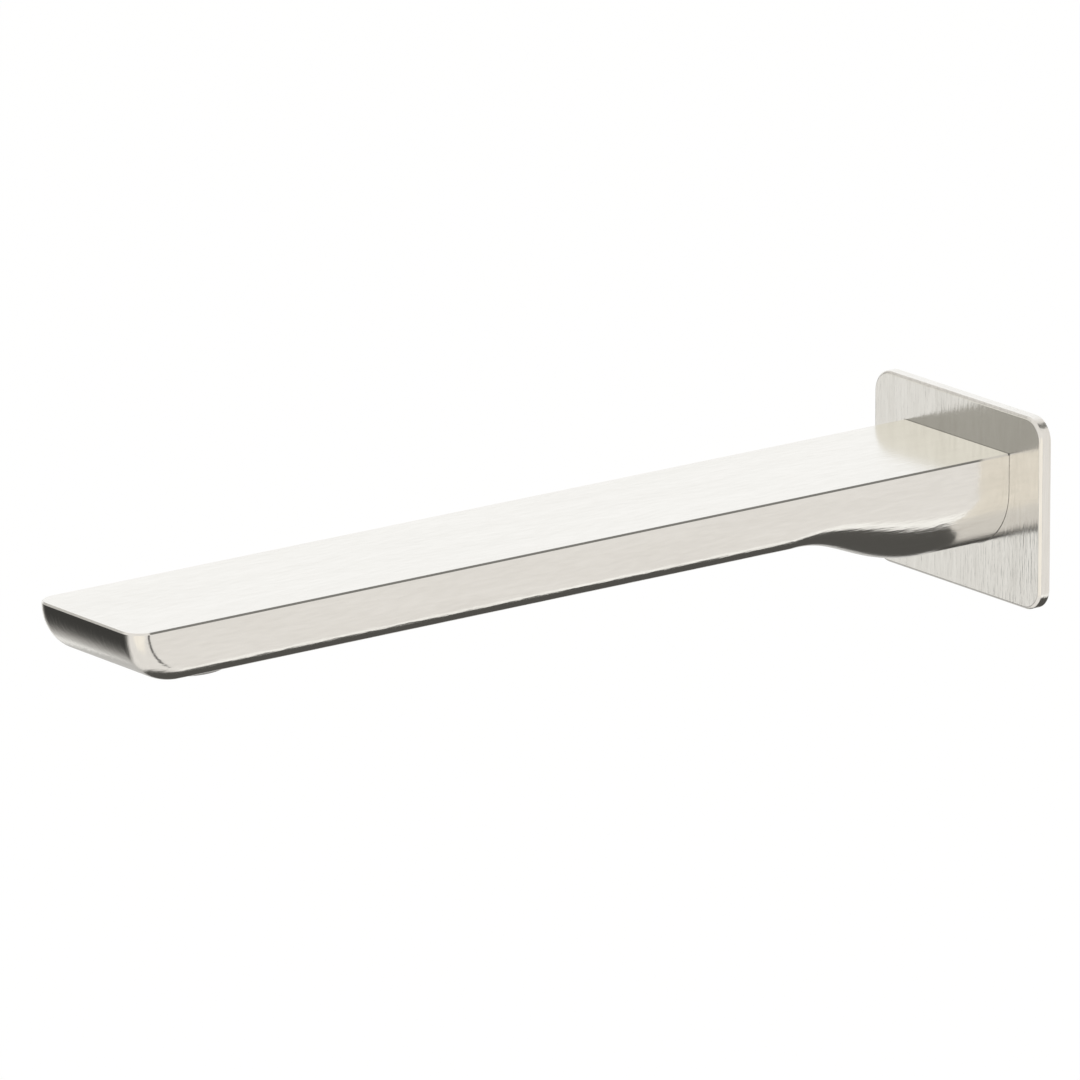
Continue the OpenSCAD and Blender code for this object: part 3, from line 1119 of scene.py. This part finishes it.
@dataclass
class CoverPlate:
    """The plate on the wall: a thin skin with a rim, beveled round its front."""

    width: float
    height: float
    depth: float
    hub: Spout
    corner_radius: float = 5.5 * MM
    bevel: float = 0.6 * MM
    skin: float = 1.2 * MM
    rim: float = 2 * MM
    gap: float = 0.05 * MM
    top_gap: float = 0.015 * MM
    corner_steps: int = 20
    hub_steps: int = 28
    edge: float = 0.09 * MM

    def outline(self, inset: float, y: float) -> list[Point]:
        """Round-cornered rectangle in X and Z at a place along Y.

        Args:
            inset: distance inside the plate's edge.
            y: where the ring lies.

        Returns:
            The points of the ring.
        """
        radius = self.corner_radius - inset
        cx = self.width / 2 - self.corner_radius
        cz = self.height / 2 - self.corner_radius
        ring = []
        for turn, (sx, sz) in enumerate(((1, 1), (-1, 1), (-1, -1), (1, -1))):
            for k in range(self.corner_steps + 1):
                a = math.pi / 2 * (turn + k / self.corner_steps)
                ring.append((sx * cx + radius * math.cos(a), y, sz * cz + radius * math.sin(a)))
        return ring

    def opening(self, y: float) -> list[Point]:
        """Outline of the hub, grown by the gap, at a place along Y.

        Args:
            y: where the ring lies.

        Returns:
            The points of the ring.
        """
        hub = self.hub
        side, top = hub.width / 2 + self.gap, hub.top_z + self.top_gap
        radius = hub.hub_radius + self.gap
        cx = hub.width / 2 - hub.hub_radius
        cz = hub.top_z - hub.hub_depth + hub.hub_radius
        arc = [math.pi / 2 * k / self.hub_steps for k in range(self.hub_steps + 1)]
        half = [(cx + radius * math.sin(a), y, cz - radius * math.cos(a)) for a in arc]
        half.append((side, y, top))
        return [(-x, y, z) for x, y, z in reversed(half)] + half

    def build(self, finishes: Finishes) -> None:
        """Makes the plate and dresses the pieces that ride with it.

        Args:
            finishes: every finish of the spout.
        """
        front = -self.depth
        plate = loft("wall_plate", [
            self.outline(0.0, 0.0), self.outline(0.0, front + self.bevel), self.outline(self.bevel, front)
        ])
        pocket = loft("pocket", [self.outline(self.rim, y) for y in (front + self.skin, PAST)])
        hole = loft("hub_opening", [self.opening(y) for y in (front - PAST, PAST)])
        combine(plate, [pocket, hole], "DIFFERENCE")
        smoothed(plate, self.edge)
        set_grain(plate, lambda normals: np.full(len(normals), Grain.UPRIGHT.value))
        stand_in(dressed(plate, finishes.plate_nickel), "plate", "cover_plate")
        keep_node("plate_carrier", finishes.carrier)
        keep_node("plate_grip_ring", finishes.rubber)
        keep_node("plate_gasket", finishes.foam)


# ------------------------------------------------------------------ inlet and lock screw


@dataclass
class Inlet:
    """The nipple that screws into the wall, with its seals and the bush it sits in."""

    end: float
    spigot_radius: float = 7.5 * MM
    bore_radius: float = 5 * MM
    groove_radius: float = 6.15 * MM
    lock_radius: float = 6.2 * MM
    thread_start: float = -0.5 * MM
    thread_length: float = 12.5 * MM
    thread_crest: float = 10.478 * MM
    thread_pitch: float = 1.814 * MM
    seal_seat: float = 8.778 * MM
    lip_radius: float = 9.278 * MM
    lip: float = 0.6 * MM
    spigot_end: float = -26 * MM
    key_depth: float = 4 * MM
    grooves: tuple[tuple[float, float], ...] = ((-21 * MM, -19 * MM), (-17.2 * MM, -15.2 * MM))
    lock_groove: tuple[float, float] = (-12.8 * MM, -8.2 * MM)
    small: float = 0.3 * MM

    def profile(self, root: float) -> list[tuple[float, float]]:
        """Outline of the nipple from its front end to its back end, and back down its bore.

        Args:
            root: core radius under the thread.

        Returns:
            Radius and place along Y of each corner.
        """
        s, r = self.small, self.spigot_radius
        corners = [(self.bore_radius, self.spigot_end), (r - s, self.spigot_end), (r, self.spigot_end + s)]
        cuts = [(*groove, self.groove_radius) for groove in self.grooves]
        for low, high, deep in (*cuts, (*self.lock_groove, self.lock_radius)):
            corners += [(r, low), (deep, low), (deep, high), (r, high)]
        thread_end = self.thread_start + self.thread_length
        corners += [
            (r, self.thread_start), (root - s, self.thread_start), (root, self.thread_start + s),
            (root, thread_end - s), (root - s, thread_end), (self.seal_seat, thread_end),
            (self.seal_seat, self.end - self.lip), (self.lip_radius, self.end - self.lip),
            (self.lip_radius, self.end - s), (self.lip_radius - s, self.end),
            (self.bore_radius + s, self.end), (self.bore_radius, self.end - s),
        ]
        return corners

    def build(self, finishes: Finishes, tree: bpy.types.NodeTree) -> None:
        """Makes the threaded nipple and dresses its seals and bush.

        Args:
            finishes: every finish of the spout.
            tree: the thread tree.
        """
        origin = (0.0, 0.0, 0.0)
        start = (0.0, self.thread_start, 0.0)
        thread = Thread(self.thread_crest, self.thread_pitch, self.thread_length, start, Axis.Y)
        nipple = turned("threaded_nipple", self.profile(thread.root), Axis.Y, origin)
        key = rod(
            "hexagon_key", self.bore_radius / math.cos(math.pi / 6), self.spigot_end - PAST,
            self.spigot_end + self.key_depth, Axis.Y, origin, sides=6,
        )
        combine(nipple, [key], "DIFFERENCE")
        smoothed(thread.wind(nipple, tree, finishes.inlet_brass))
        stand_in(nipple, "spout", "wall_nipple")
        keep_node("inlet_bush", finishes.inlet_brass)
        keep_node("thread_seal_ring", finishes.seal)
        for node in ("nipple_o_ring_front", "nipple_o_ring_rear"):
            keep_node(node, finishes.rubber)


@dataclass
class LockScrew:
    """The socket screw under the hub, and the pad that it presses on the nipple."""

    low: float
    high: float
    y: float = -10.5 * MM
    crest: float = 1.95 * MM
    pitch: float = 0.7 * MM
    key_radius: float = 1.155 * MM
    core: float = 0.3 * MM
    small: float = 0.15 * MM

    def build(self, finishes: Finishes, tree: bpy.types.NodeTree) -> None:
        """Makes the threaded screw and dresses its pad.

        Args:
            finishes: every finish of the spout.
            tree: the thread tree.
        """
        base = (0.0, self.y, self.low)
        length = self.high - self.low
        thread = Thread(self.crest, self.pitch, length, base, Axis.Z)
        root, s, core = thread.root, self.small, self.core
        outline = [
            (core, 0.0), (root - s, 0.0), (root, s), (root, length - s), (root - s, length), (core, length)
        ]
        screw = turned("lock_screw_threaded", outline, Axis.Z, base, steps=48)
        fill = rod("middle", core * 1.5, 0.0, length, Axis.Z, base, sides=24)
        combine(screw, [fill], "UNION")
        key = rod("key_socket", self.key_radius, -PAST, length / 2, Axis.Z, base, sides=6)
        combine(screw, [key], "DIFFERENCE")
        smoothed(thread.wind(screw, tree, finishes.steel))
        stand_in(screw, "lock_screw", "grub_screw")
        keep_node("pressure_pad", finishes.outlet_brass)


# ------------------------------------------------------------------ aerator


def key_ring_tree() -> bpy.types.NodeTree:
    """Builds the Geometry Nodes tree that sets a number of like blocks round a circle.

    Returns:
        The tree. Its blocks point outwards, and are used to cut the key slots.
    """
    w, given = start_tree("ring_of_keys", {
        "Count": "NodeSocketInt", "Radius": VALUE, "Block": VECTOR, "Centre": VECTOR, "Turn": ROTATION,
    })
    circle = w.add("GeometryNodeCurvePrimitiveCircle", {
        "Resolution": given["Count"], "Radius": given["Radius"],
    })
    points = w.add("GeometryNodeCurveToPoints", {"Curve": circle.outputs[0]}, mode="EVALUATED").outputs
    block = w.add("GeometryNodeMeshCube", {"Size": given["Block"]})
    keys = w.add("GeometryNodeInstanceOnPoints", {
        "Points": points["Points"], "Instance": block.outputs["Mesh"], "Rotation": points["Rotation"],
    })
    placed = w.add("GeometryNodeTransform", {
        "Geometry": keys.outputs[0], "Translation": given["Centre"], "Rotation": given["Turn"],
    })
    return end_tree(w, placed.outputs[0], given["Finish"])


@dataclass
class Aerator:
    """The cup that screws in under the tip, and the parts stacked in it."""

    y: float
    low: float
    high: float
    face_radius: float = 10.75 * MM
    outlet_radius: float = 8.5 * MM
    core_radius: float = 9.45 * MM
    neck: float = 4.6 * MM
    ledge: float = 1 * MM
    round_in: float = 0.15 * MM
    crest: float = 11.95 * MM
    pitch: float = 1 * MM
    keys: int = 6
    key_size: tuple[float, float, float] = (1.6 * MM, 2.25 * MM, 1 * MM)
    key_centre: float = 10.375 * MM
    small: float = 0.25 * MM
    round_steps: int = 6

    def profile(self, root: float, height: float) -> list[tuple[float, float]]:
        """Outline of the cup, from its outlet up its outside and down its inside.

        Args:
            root: core radius under the thread.
            height: height of the cup.

        Returns:
            Radius and height of each corner.
        """
        r, low_r, small = self.round_in, self.face_radius - self.round_in, self.small
        rim = [math.pi / 2 * k / self.round_steps for k in range(self.round_steps + 1)]
        return [
            (self.outlet_radius, small), (self.outlet_radius + small, 0.0),
            *((low_r + r * math.sin(a), r - r * math.cos(a)) for a in rim),
            (self.face_radius, self.neck), (root - small, self.neck), (root, self.neck + small),
            (root, height - small), (root - small, height), (self.core_radius, height),
            (self.core_radius, self.ledge), (self.outlet_radius, self.ledge),
        ]

    def build(self, finishes: Finishes, tree: bpy.types.NodeTree) -> None:
        """Makes the threaded cup with its key slots, and dresses what it holds.

        Args:
            finishes: every finish of the spout.
            tree: the thread tree.
        """
        base = (0.0, self.y, self.low)
        height = self.high - self.low
        start = (0.0, self.y, self.low + self.neck)
        thread = Thread(self.crest, self.pitch, height - self.neck, start, Axis.Z)
        cup = turned("aerator_cup", self.profile(thread.root, height), Axis.Z, base, steps=120)
        slots = solid("key_slots", [], [])
        run_tree(slots, key_ring_tree(), {
            "Count": self.keys, "Radius": self.key_centre, "Block": self.key_size, "Centre": base,
            "Turn": (0.0, 0.0, math.pi / self.keys), "Finish": finishes.grey,
        })
        combine(cup, [slots], "DIFFERENCE")
        smoothed(thread.wind(cup, tree, finishes.grey))
        stand_in(dressed(cup, finishes.grey), "aerator", "aerator_housing")
        keep_node("aerator_outlet_grid", finishes.grey)
        keep_node("outlet_bush", finishes.outlet_brass)
        keep_node("aerator_washer", finishes.rubber)
        for node in ("aerator_strainer", "aerator_metering_plate", "aerator_diffuser"):
            keep_node(node, finishes.white)


# ------------------------------------------------------------------ studio


def panel(name: str, middle: Vector, side: Vector, up: Vector) -> bpy.types.Object:
    """Makes a flat panel of four corners.

    Args:
        name: the object's name.
        middle: its middle.
        side: from there to the middle of one edge.
        up: from there to the middle of the next edge.

    Returns:
        The panel, which looks along side cross up.
    """
    mesh = bpy.data.meshes.new(name)
    corners = [tuple(middle + x * side + y * up) for x, y in ((-1, -1), (1, -1), (1, 1), (-1, 1))]
    mesh.from_pydata(corners, [], [(0, 1, 2, 3)])
    piece = bpy.data.objects.new(name, mesh)
    bpy.context.scene.collection.objects.link(piece)
    return piece


def bare_material(name: str) -> tuple[bpy.types.Material, Wiring]:
    """Makes a material that has no nodes yet.

    Args:
        name: its name.

    Returns:
        The material and its wiring.
    """
    paint = bpy.data.materials.new(name)
    paint.use_nodes = True
    paint.node_tree.nodes.clear()
    return paint, Wiring(paint.node_tree)


@dataclass(frozen=True)
class Glow:
    """One soft patch of the room round the spout: its direction, brightness and angles."""

    towards: tuple[float, float, float]
    light: Colour
    core: float
    rim: float


@dataclass
class Studio:
    """Camera, floor and soft light. The room is seen only in the metal."""

    eye: tuple[float, float, float] = (2.7315, -2.2339, 0.9819)
    azimuth: float = math.radians(52.3075)
    elevation: float = math.radians(15.7448)
    roll: float = math.radians(0.0641)
    lens: float = 533.14
    sensor: float = 36.0
    clip_end: float = 50.0
    floor_z: float = -0.4
    floor_size: float = 8.0
    floor_glow: Colour = (0.93, 0.93, 0.93)
    floor_paint: Colour = (0.08, 0.08, 0.08)
    card_towards: tuple[float, float, float] = (-0.76, -0.59, -0.27)
    card_distance: float = 0.3
    card_half: float = 0.065
    card_light: Colour = (0.88, 0.87, 0.84)
    lamp_size: float = 0.8
    lamp_watts: float = 4.0
    lamp_place: tuple[float, float, float] = (0.5, -0.7, 1.0)
    lamp_back: tuple[float, float, float] = (0.5, -0.6, 1.0)
    backdrop: Colour = (1.0, 1.0, 1.0)
    walls: Colour = (0.89, 0.865, 0.83)
    glows: tuple[Glow, ...] = field(default_factory=lambda: (
        Glow((-0.76, 0.59, 0.27), (1.06, 1.06, 1.05), 22, 48),
        Glow((-0.80, 0.20, -0.57), (0.55, 0.54, 0.52), 10, 40),
        Glow((-0.12, 0.50, -0.86), (0.09, 0.087, 0.08), 29, 37),
        Glow((-0.76, -0.62, -0.10), (0.38, 0.37, 0.35), 36, 54),
        Glow((-0.72, -0.59, -0.37), (0.05, 0.049, 0.046), 6, 41),
        Glow((0.27, 0.59, 0.76), (0.22, 0.215, 0.2), 8, 15),
        Glow((0.76, -0.59, -0.27), (1.05, 1.0, 0.91), 18, 34),
        Glow((-0.76, -0.59, 0.27), (1.0, 0.98, 0.9), 14, 24),
        Glow((0.52, 0.59, -0.62), (1.1, 1.09, 1.05), 3, 9),
        Glow((0.94, 0.19, -0.27), (0.04, 0.04, 0.04), 3, 7),
        Glow((0.88, 0.25, -0.40), (0.04, 0.04, 0.04), 3, 7),
        Glow((0.78, 0.34, -0.52), (0.04, 0.04, 0.04), 3, 7),
    ))

    def set_camera(self) -> None:
        """Puts the camera at the spout's viewing angle."""
        a, e = self.azimuth, self.elevation
        back = Vector((math.sin(a) * math.cos(e), -math.cos(a) * math.cos(e), math.sin(e)))
        right = Vector((math.cos(a), math.sin(a), 0.0))
        up = back.cross(right)
        c, s = math.cos(self.roll), math.sin(self.roll)
        axes = (c * right + s * up, c * up - s * right, back)
        data = bpy.data.cameras.new("view")
        data.lens, data.sensor_width = self.lens, self.sensor
        data.clip_end = self.clip_end
        camera = bpy.data.objects.new("view", data)
        camera.matrix_world = Matrix.Translation(self.eye) @ Matrix(axes).transposed().to_4x4()
        bpy.context.scene.collection.objects.link(camera)
        bpy.context.scene.camera = camera

    def set_room(self) -> None:
        """Makes the soft room: white behind the spout, and each glow in its own direction."""
        world = bpy.data.worlds.new("soft_room")
        world.use_nodes = True
        world.node_tree.nodes.clear()
        w = Wiring(world.node_tree)
        place = w.add("ShaderNodeTexCoord").outputs["Generated"]
        colour: object = self.walls
        for glow in self.glows:
            feeds = {0: place, 1: Vector(glow.towards).normalized()}
            facing = w.add("ShaderNodeVectorMath", feeds, operation="DOT_PRODUCT").outputs["Value"]
            low, high = (math.cos(math.radians(angle)) for angle in (glow.rim, glow.core))
            colour = w.tint(w.span(facing, low, high, smooth=True), colour, glow.light)
        seen = w.add("ShaderNodeLightPath").outputs["Is Camera Ray"]
        shown = w.add("ShaderNodeBackground", {"Color": w.tint(seen, colour, self.backdrop)})
        w.add("ShaderNodeOutputWorld", {0: shown.outputs[0]})
        bpy.context.scene.world = world

    def set_floor(self) -> None:
        """Lays the pale floor, which the camera sees from above and the metal doesn't mirror."""
        half = self.floor_size / 2
        floor = panel("floor", Vector((0, 0, self.floor_z)), Vector((half, 0, 0)), Vector((0, half, 0)))
        paint, w = bare_material("pale_floor")
        glow = w.add("ShaderNodeEmission", {"Color": self.floor_glow}).outputs[0]
        matt = w.add("ShaderNodeBsdfDiffuse", {"Color": self.floor_paint}).outputs[0]
        pale = w.add("ShaderNodeAddShader", {0: glow, 1: matt}).outputs[0]
        seen = w.add("ShaderNodeLightPath").outputs["Is Camera Ray"]
        above = w.math("SUBTRACT", 1.0, w.add("ShaderNodeNewGeometry").outputs["Backfacing"])
        clear = w.add("ShaderNodeBsdfTransparent").outputs[0]
        shown = w.add("ShaderNodeMixShader", {0: w.math("MULTIPLY", seen, above), 1: clear, 2: pale})
        w.add("ShaderNodeOutputMaterial", {0: shown.outputs[0]})
        dressed(floor, paint)

    def set_card(self) -> None:
        """Stands a white card beside the plate, which brightens the plate and not the tip."""
        towards = Vector(self.card_towards).normalized()
        side = towards.cross(Vector((0, 0, 1))).normalized()
        up = side.cross(towards)
        half = self.card_half
        card = panel("white_card", self.card_distance * towards, half * side, half * up)
        card.visible_camera = False
        card.visible_shadow = False
        paint, w = bare_material("white_card")
        glow = w.add("ShaderNodeEmission", {"Color": self.card_light})
        w.add("ShaderNodeOutputMaterial", {0: glow.outputs[0]})
        dressed(card, paint)

    def set_key_light(self) -> None:
        """Hangs one large soft lamp over the spout, for the matt pieces."""
        data = bpy.data.lights.new("soft_key", "AREA")
        data.shape, data.size, data.energy = "DISK", self.lamp_size, self.lamp_watts
        lamp = bpy.data.objects.new("soft_key", data)
        lamp.location = self.lamp_place
        lamp.rotation_euler = Vector(self.lamp_back).to_track_quat("Z", "Y").to_euler()
        lamp.visible_glossy = False
        bpy.context.scene.collection.objects.link(lamp)

    def build(self) -> None:
        """Sets up the whole studio."""
        bpy.context.scene.view_settings.view_transform = "Standard"
        self.set_camera()
        self.set_room()
        self.set_floor()
        self.set_card()
        self.set_key_light()


# ------------------------------------------------------------------ the whole spout


def main() -> None:
    """Builds every sub-assembly round the frame, then the studio."""
    logging.basicConfig(level=logging.INFO, format="%(name)s: %(message)s")
    (shell_low, shell_high), (lid_low, lid_high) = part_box("spout_body"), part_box("top_cover")
    cup_low, cup_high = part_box("aerator_housing")
    plate_low, plate_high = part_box("cover_plate")
    screw_low, screw_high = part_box("grub_screw")
    outlet_y = (cup_low[1] + cup_high[1]) / 2
    finishes = Finishes(outlet_y, lid_high[2])
    spout = Spout(
        reach=-lid_low[1],
        width=lid_high[0] - lid_low[0],
        lid_z=lid_low[2],
        top_z=lid_high[2],
        hub_depth=lid_high[2] - shell_low[2],
        back=shell_high[1],
        outlet_y=outlet_y,
    )
    threads = thread_tree()
    spout.build(finishes)
    width, height = plate_high[0] - plate_low[0], plate_high[2] - plate_low[2]
    CoverPlate(width, height, -plate_low[1], spout).build(finishes)
    Inlet(end=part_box("wall_nipple")[1][1]).build(finishes, threads)
    LockScrew(screw_low[2], screw_high[2]).build(finishes, threads)
    Aerator(outlet_y, cup_low[2], cup_high[2]).build(finishes, threads)
    Studio().build()


if __name__ == "__main__":
    main()
